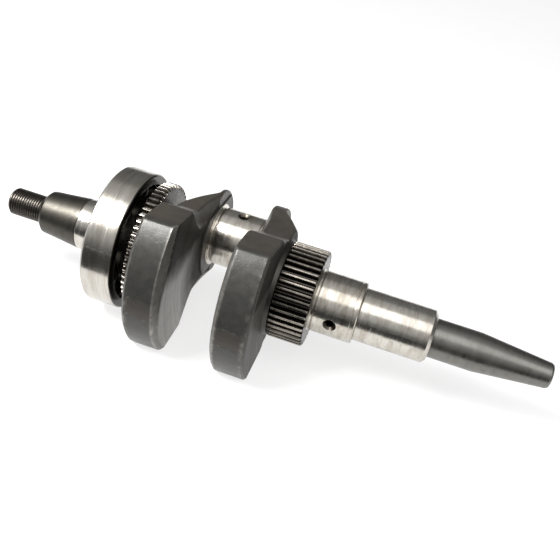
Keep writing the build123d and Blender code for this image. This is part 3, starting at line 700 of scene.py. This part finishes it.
def make_web(name, outer_x, inner_x, cone_start_r, flange, outer_chamfer, crescent, turned_face):
    """One web and counterweight: two faces over a shared outline, joined by the side wall. The
    cone leaves the flange's thickness at the pin; turned_face says which face is machined."""
    side = 1 if inner_x > outer_x else -1
    thickness = abs(inner_x - outer_x)
    outline = web_outline()
    count = len(outline)
    scales = 1 - np.array([0, 0.0035, 0.008, 0.014, 0.021, 0.03, 0.042, 0.056, 0.073, 0.093,
                           0.117, 0.145] + list(np.linspace(0.17, 0.93, 36)))
    points = np.vstack([outline * s for s in scales] + [np.zeros((1, 2))])
    a, across = points[:, 0], points[:, 1]
    c = np.abs(across)
    to_edge = distance_to(points, outline)

    # outer side: a cone about the crank axis takes the face back to a flange on the pin side
    cone = np.clip((np.hypot(a, c) - cone_start_r) * CONE_RISE, 0, thickness - flange)
    cone *= smoothstep(a, -12.0, -1.0)
    # inner side: facets fall away beside the thrust face
    falls = [fall * ((a - start[0]) * way[0] + (c - start[1]) * way[1])
             for start, way, fall in INNER_FACETS]
    facet = np.maximum(0, blend_least(falls, FACET_BLEND))
    local = thickness - cone - facet
    reach = crescent_reach(a, across) if crescent else INNER_CHAMFER
    inner_cut = rim_cut(a, across, INNER_CHAMFER, reach)
    outer_cut = rim_cut(a, across, outer_chamfer, outer_chamfer)
    inner_drop = facet + np.maximum(inner_cut, edge_round(to_edge, np.minimum(1.0, 0.35 * local)))
    outer_drop = cone + np.maximum(outer_cut, edge_round(to_edge, np.minimum(1.2, 0.35 * local)))
    inner = inner_x - side * inner_drop
    outer = outer_x + side * outer_drop

    none = np.zeros(len(points))
    turned = {"inner": (facet < 0.05) & (inner_drop < 0.3) & (a < 30),
              "outer": (cone < 0.05) & (outer_drop < 0.3)}[turned_face].astype(float)
    vertices, faces, marks, bands, ridges = [], [], [], [], []
    for face, xs, band in (("inner", inner, np.clip(inner_cut * 2, 0, 1)), ("outer", outer, none)):
        start = len(vertices)
        vertices += [(x, p[0], p[1]) for x, p in zip(xs, points)]
        marks += list(turned if face == turned_face else none)
        bands += list(band)
        centre = len(vertices) - 1
        rings = [list(range(k, k + count)) for k in range(start, centre, count)]
        faces += skin(rings) + fan(rings[-1], centre)
        ridges.append(rings[0])
    rows = 14
    wall = [ridges[0]]
    for k in range(1, rows):
        t, start = k / rows, len(vertices)
        vertices += [(inner[j] * (1 - t) + outer[j] * t, *outline[j]) for j in range(count)]
        wall.append(list(range(start, start + count)))
    faces += skin(wall + [ridges[1]])
    on_wall = [0.0] * (count * (rows - 1))

    obj = new_object(name, vertices, faces, 40)
    mark_points(obj.data, "turned_face", marks + on_wall)
    mark_points(obj.data, "chamfer_band", bands + on_wall)
    roughen_forging(obj)
    return obj


def bored_for_plug(web):
    """The web with the mouth of the slanted oil gallery, which the plug closes."""
    start = Vector((OIL_X, 0, 0))
    way = (Vector((PIN_MIDDLE_X, THROW, 0)) - start).normalized()
    profile = [(-10, 0), (-10, PLUG_BORE_R), (PLUG_SINK, PLUG_BORE_R), (PLUG_SINK, 0)]
    cutter = lathe("cutter", profile, segments=48, step=50)
    cut(web, turned_to(cutter, start + way * GALLERY_LENGTH, -way), 40)
    return web


def roughen_forging(obj):
    """Dents, a trimmed flash band across the rim and worn edges, with the masks its material
    reads."""
    mesh = obj.data
    count = len(mesh.vertices)
    co, normal, flat = np.zeros(count * 3), np.zeros(count * 3), np.zeros(count)
    mesh.vertices.foreach_get("co", co)
    mesh.vertices.foreach_get("normal", normal)
    mesh.attributes["turned_face"].data.foreach_get("value", flat)
    co, normal = co.reshape(-1, 3) / MM, normal.reshape(-1, 3)
    low_x, high_x = co[:, 0].min() + 2.0, co[:, 0].max() - 2.0
    push, wear, band, wall = (np.zeros(count) for _ in range(4))
    for i in range(count):
        if flat[i] > 0.5:
            continue
        x, a, c = co[i]
        p = Vector((x, a, c))
        broad = noise.noise(p * 0.06)
        medium = noise.noise(p * 0.22 + Vector((7, 3, 1)))
        small = noise.noise(p * 0.9 + Vector((1, 9, 4)))
        push[i] = 0.10 * broad + 0.05 * medium + 0.018 * small
        r = math.hypot(a, c)
        radial = max(0.0, normal[i][1] * a / max(r, 1) + normal[i][2] * c / max(r, 1))
        wall[i] = radial if a < RIM_END_Y + 4 else 0.0
        rim_near = max(0.0, 1 - abs(RIM_R - r) / 1.2) * (1 if a < -20 else 0)
        if rim_near == 0:
            continue
        wobble = 1.6 * noise.noise(Vector((x * 0.35, 2, 5))) + 0.5 * noise.noise(Vector((x, 5, 8)))
        low_z, high_z = TRIM_LOW_Z + wobble, TRIM_HIGH_Z + wobble * 0.7
        if low_z < c < high_z:
            band[i] = rim_near
            push[i] += -0.10 + 0.10 * noise.noise(p * 1.1 + Vector((3, 3, 3)))
        if min(abs(c - low_z), abs(c - high_z)) < 0.5:
            wear[i] += 0.7 * max(0, noise.noise(p * 0.8))
        at_edge = max(0.0, 1 - min(abs(x - low_x), abs(x - high_x)) / 0.9)
        below = 1.0 if c < 3 else 0.35
        wear[i] += at_edge * below * max(0.0, 0.5 + 1.6 * noise.noise(p * 0.35))
        nick = noise.noise(Vector((x * 0.9, a * 0.55, c * 0.55)) + Vector((11, 2, 6)))
        if at_edge > 0 and nick > 0.34:
            push[i] -= 0.35 * (nick - 0.34) * at_edge
    co = (co + normal * push[:, None]) * MM
    mesh.vertices.foreach_set("co", co.ravel())
    for label, values in (("edge_wear", wear), ("trim_band", band), ("side_wall", wall)):
        mark_points(mesh, label, np.clip(values, 0, 1))
    mesh.update()


def make_thrust_face(name, face_x, side):
    """The raised ground face round the pin: a disc trimmed straight along both sides."""
    cut_angle = math.degrees(math.asin(THRUST_HALF_WIDTH / THRUST_R))
    outline = (arc_points((THROW, 0), THRUST_R, -cut_angle, cut_angle, 40)
               + arc_points((THROW, 0), THRUST_R, 180 - cut_angle, 180 + cut_angle, 40))
    sunk, chamfer = 1.0, 0.2
    vertices, rings = [], []
    for height, inset in ((-sunk, 0.0), (THRUST_HEIGHT - chamfer, 0.0), (THRUST_HEIGHT, chamfer)):
        scale = 1 - inset / THRUST_R
        rings.append(tuple(range(len(vertices), len(vertices) + len(outline))))
        vertices += [(face_x + side * height, THROW + (a - THROW) * scale, c * scale)
                     for a, c in outline]
    return new_object(name, vertices, skin(rings) + [rings[0], rings[-1]])


# ---------------------------------------------------------------------------------------------
# Gears and bearing
# ---------------------------------------------------------------------------------------------
def tooth_points(teeth):
    """One tooth's outline from root to root, as (radius, angle) about the tooth's middle."""
    pitch_r = GEAR_MODULE * teeth / 2
    base_r = pitch_r * math.cos(PRESSURE_ANGLE)
    tip_r, root_r = pitch_r + GEAR_MODULE, pitch_r - 1.25 * GEAR_MODULE
    roll = math.tan(PRESSURE_ANGLE) - PRESSURE_ANGLE
    half_at_pitch = (math.pi / 2 - 0.03) / teeth
    flank = [(root_r, half_at_pitch + roll + 0.42 / teeth),
             (root_r + 0.06, half_at_pitch + roll + 0.20 / teeth)]
    start_r = max(base_r, root_r + 0.35)
    for k in range(7):
        r = start_r + (tip_r - 0.09 - start_r) * k / 6
        pressure = math.acos(min(1.0, base_r / r))
        flank.append((r, half_at_pitch + roll - (math.tan(pressure) - pressure)))
    last = flank[-1][1]
    flank.append((tip_r - 0.02, last - 0.07 / tip_r))
    flank.append((tip_r, last - 0.16 / tip_r))
    return [(r, -h) for r, h in flank] + [(r, h) for r, h in reversed(flank)]


def make_gear(name, teeth, start_x, width, bore_r, hub_r, hub_x):
    """A spur gear with involute teeth and broken tooth ends."""
    tip_r = GEAR_MODULE * (teeth / 2 + 1)
    tooth = tooth_points(teeth)
    around = [(r, 2 * math.pi * k / teeth + h) for k in range(teeth) for r, h in tooth]
    count = len(around)
    broken, end_x = 0.8, start_x + width
    stations = [(start_x, tip_r - broken), (start_x + 0.12, tip_r - broken * 0.75),
                (start_x + broken * 0.85, tip_r - 0.06), (start_x + broken + 0.15, tip_r + 1)]
    stations += [(start_x + width * t, tip_r + 1) for t in (0.3, 0.5, 0.7)]
    stations += [(start_x + end_x - x, limit) for x, limit in reversed(stations[:4])]
    stations.sort()
    vertices, faces = [], []
    for x, limit in stations:
        for r, h in around:
            rr = min(r, limit)
            vertices.append((x, rr * math.cos(h), rr * math.sin(h)))
    rings = [list(range(k * count, (k + 1) * count)) for k in range(len(stations))]

    def add_ring(x, radius):
        start = len(vertices)
        vertices.extend((x, radius * math.cos(h), radius * math.sin(h)) for _, h in around)
        return list(range(start, start + count))

    rim_r = tooth[0][0] - 1.2
    left = [add_ring(start_x, rim_r)]
    if hub_x < start_x:
        left += [add_ring(start_x, hub_r + 0.4), add_ring(start_x - 0.4, hub_r),
                 add_ring(hub_x + 0.3, hub_r), add_ring(hub_x, hub_r - 0.3)]
    left += [add_ring(hub_x, bore_r + 0.3), add_ring(hub_x + 0.3, bore_r)]
    right = [add_ring(end_x, rim_r), add_ring(end_x, bore_r + 0.5), add_ring(end_x - 0.5, bore_r)]
    chain = list(reversed(left)) + rings + right
    return new_object(name, vertices, skin(chain + chain[:1]), 28)


def make_outer_ring():
    """The bearing's outer ring, with the race that the balls run in."""
    half, chamfer, steps = BEARING_HALF_WIDTH, 1.0, 24
    centre = BALL_PITCH_R - (RACE_R - BALL_R - RACE_GAP)
    reach = math.sqrt(RACE_R ** 2 - (BEARING_LAND_R - centre) ** 2)
    stations = [-reach + 2 * reach * k / steps for k in range(steps + 1)]
    race = [(x, centre + math.sqrt(RACE_R ** 2 - x * x)) for x in stations]
    shell = rounded([(0, BEARING_R), (-half + chamfer, BEARING_R), (-half, BEARING_R - chamfer),
                     (-half, BEARING_LAND_R), (-reach, BEARING_LAND_R)], 0.3)
    profile = shell[:-1] + race + [(-x, r) for x, r in reversed(shell[:-1])]
    obj = lathe("outer_ring", profile, segments=320, step=3.0)
    face_outwards(obj.data, merge=1e-7)
    shade(obj)
    return obj


# ---------------------------------------------------------------------------------------------
# Assemble the object
# ---------------------------------------------------------------------------------------------
def build_object():
    crank = "crank"
    slot = "forged_steel"
    for obj, material in (
        (make_threaded_end(), "thread"),
        (make_flywheel_taper(), "taper"),
        (make_flywheel_journal(), "plain_journal"),
        (make_shoulder("left_shoulder", BALANCER_X + BALANCER_WIDTH, LEFT_OUTER_X + 1,
                       SHOULDER_R, SHOULDER_R), "collar"),
        (make_shoulder("right_shoulder", RIGHT_OUTER_X - 1, TIMING_X, RIGHT_SHOULDER_R + 1.5,
                       RIGHT_SHOULDER_R), "collar"),
        (make_main_journal(), "journal"),
        (make_seal_journal(), "plain_journal"),
        (make_output_end(), "satin"),
        (make_crankpin(), "pin"),
        (bored_for_plug(make_web("left_web", LEFT_OUTER_X + 0.6, LEFT_INNER_X, cone_start_r=25.4,
                                 flange=2.5, outer_chamfer=1.6, crescent=True,
                                 turned_face="inner")), "forged"),
        (make_web("right_web", RIGHT_OUTER_X, RIGHT_INNER_X, cone_start_r=33.5, flange=8.3,
                  outer_chamfer=1.5, crescent=False, turned_face="outer"), "forged"),
        (make_thrust_face("left_thrust_face", LEFT_INNER_X, 1), "thrust"),
        (make_thrust_face("right_thrust_face", RIGHT_INNER_X, -1), "thrust"),
    ):
        finish_piece(obj, crank, slot, MATERIALS[material], "crankshaft")
    balancer = make_gear("balancer_drive_gear", BALANCER_TEETH, BALANCER_X, BALANCER_WIDTH,
                         BALANCER_SEAT_R, BALANCER_HUB_R, GEAR_SEAT_X)
    finish_piece(balancer, crank, "balancer_gear_steel", MATERIALS["balancer"], "balancer_gear")
    timing = make_gear("timing_drive_gear", TIMING_TEETH, TIMING_X, TIMING_WIDTH,
                       TIMING_SEAT_R, 0, TIMING_X)
    finish_piece(timing, crank, "timing_gear_steel", MATERIALS["timing"], "timing_gear")
    ring = make_outer_ring()
    finish_piece(ring, "outer_ring", "bearing_steel", MATERIALS["ring"], "bearing_outer_ring")
    for name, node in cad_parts.items():
        if node.hide_render:
            continue
        if name.startswith("bearing_ball"):
            material = "ball"
        elif name.startswith("bearing_cage"):
            material = "cage"
        elif name == "bearing_inner_ring":
            material = "inner_ring"
        else:
            material = "small"
        node.data.materials.clear()
        node.data.materials.append(MATERIALS[material])


# ---------------------------------------------------------------------------------------------
# Floor, lights and camera, in metres
# ---------------------------------------------------------------------------------------------
# each lamp's place, the point along the crank that it is aimed at, its width, length and radiance
LAMPS = {
    "key_softbox": ((0.05, -0.366, 0.822), 0.05, 0.62, 2.6, 1.5),
    "side_softbox": ((-0.46, -0.42, 0.80), 0.07, 0.32, 0.40, 42.0),
}
# brightness of the studio's walls, by the angle in degrees from level on the camera's side, over
# the top, to level on the far side
WALL_LEVELS = ((0, 0.08), (10, 0.26), (22, 0.50), (38, 0.60), (92, 0.62), (114, 0.48), (130, 0.20),
               (180, 0.12))
FLOOR_SIZE, FLOOR_GLOW = 12.0, 0.74
# corners of the black sheet that puts the shaded floor in front into reflections, as painted shade
SHADE_SHEET_LOW, SHADE_SHEET_HIGH = (-1.5, -2.5), (1.8, -0.088)
CAMERA_PLACE, CAMERA_LENS = (0.1523, -0.3436, 0.2370), 48.36
CAMERA_RIGHT, CAMERA_UP = (0.94067, 0.28652, 0.18183), (-0.30793, 0.49554, 0.81219)


def flat_sheet(name, low, high, z):
    """A level rectangle between two (x, y) corners."""
    (x0, y0), (x1, y1) = low, high
    mesh = bpy.data.meshes.new(name)
    mesh.from_pydata([(x0, y0, z), (x1, y0, z), (x1, y1, z), (x0, y1, z)], [], [(0, 1, 2, 3)])
    return add_object(name, mesh)


def make_floor():
    floor = flat_sheet("floor", (-FLOOR_SIZE, -FLOOR_SIZE), (FLOOR_SIZE, FLOOR_SIZE), 0)
    floor.location.z = FLOOR_Z - 0.0002
    n = Nodes(bpy.data.materials.new("pale_floor"))
    speckle = n.noise(n.position(), 30.0, 3.0, 0.5)
    color = n.mix(n.span(speckle, 0.3, 0.7), rgb(0.27, 0.27, 0.268), rgb(0.29, 0.29, 0.29))
    floor.data.materials.append(n.finish(color, 0.9, 0.0, Specular_IOR_Level=0.1,
                                         Emission_Color=rgb(1, 1, 1),
                                         Emission_Strength=FLOOR_GLOW))
    return floor


def area_light(name, place, along, width, length, radiance):
    """A soft rectangular lamp at place, aimed at (along, 0, 0), its long side level."""
    light = bpy.data.lights.new(name, "AREA")
    light.shape = "RECTANGLE"
    light.size, light.size_y = length, width
    light.energy = radiance * math.pi * width * length
    obj = add_object(name, light)
    obj.location = place
    way = Vector((along, 0, 0)) - obj.location
    obj.rotation_mode = "QUATERNION"
    obj.rotation_quaternion = way.to_track_quat("-Z", "Y")
    return obj


def dark_card(name, low, high):
    """A black sheet just over the floor, which only reflections see: a painted reflection of the
    shade on the floor in front.
    """
    card = flat_sheet(name, low, high, FLOOR_Z + 0.0005)
    n = Nodes(bpy.data.materials.new(name + "_shade_black"))
    sheet_noise = n.noise(n.position(), 400.0, 3.0, 0.5)
    color = n.mix(sheet_noise, rgb(0.015, 0.015, 0.015), rgb(0.03, 0.03, 0.03))
    card.data.materials.append(n.finish(color, 0.9, 0.0, Specular_IOR_Level=0.0))
    card.visible_camera = False
    card.visible_diffuse = False
    card.visible_shadow = False
    card.visible_transmission = False
    return card


def make_walls():
    """The studio round the object: graded for lighting, and white where it is seen directly."""
    world = bpy.data.worlds.new("studio")
    bpy.context.scene.world = world
    n = Nodes(world, "OutputWorld")
    _, y, z = n.split(n.add("TexCoord").outputs["Generated"])
    turn = n.math("ARCTAN2", z, n.times(y, -1.0))
    ramp = n.add("ValToRGB")
    n.feed(ramp.inputs[0], n.span(turn, 0.0, math.pi))
    ramp.color_ramp.interpolation = "EASE"
    while len(ramp.color_ramp.elements) < len(WALL_LEVELS):
        ramp.color_ramp.elements.new(0.5)
    for element, (degrees, level) in zip(ramp.color_ramp.elements, WALL_LEVELS):
        element.position = degrees / 180
        element.color = rgb(level, level, level)
    seen = n.add("LightPath").outputs["Is Camera Ray"]
    walls = n.mix(seen, ramp.outputs[0], rgb(0.98, 0.98, 0.98))
    background = n.add("Background", Color=walls, Strength=1.0)
    n.tree.links.new(background.outputs[0], n.output.inputs[0])


def make_studio():
    for name, settings in LAMPS.items():
        area_light(name, *settings)
    dark_card("front_shade_sheet", SHADE_SHEET_LOW, SHADE_SHEET_HIGH)
    make_walls()


def make_camera():
    """Above the counterweight side, looking across the crank, with the horizon rolled a little."""
    data = bpy.data.cameras.new("camera")
    data.sensor_width = 36.0
    data.lens = CAMERA_LENS
    data.clip_start, data.clip_end = 0.01, 60.0
    camera = add_object("camera", data)
    right, up = Vector(CAMERA_RIGHT), Vector(CAMERA_UP)
    back = right.cross(up).normalized()
    right.normalize()
    turn = Matrix((right, back.cross(right), back)).transposed().to_4x4()
    camera.matrix_world = Matrix.Translation(CAMERA_PLACE) @ turn
    bpy.context.scene.camera = camera


build_object()
make_floor()
make_studio()
make_camera()
bpy.context.scene.view_settings.view_transform = "Standard"
bpy.context.scene.view_settings.look = "None"
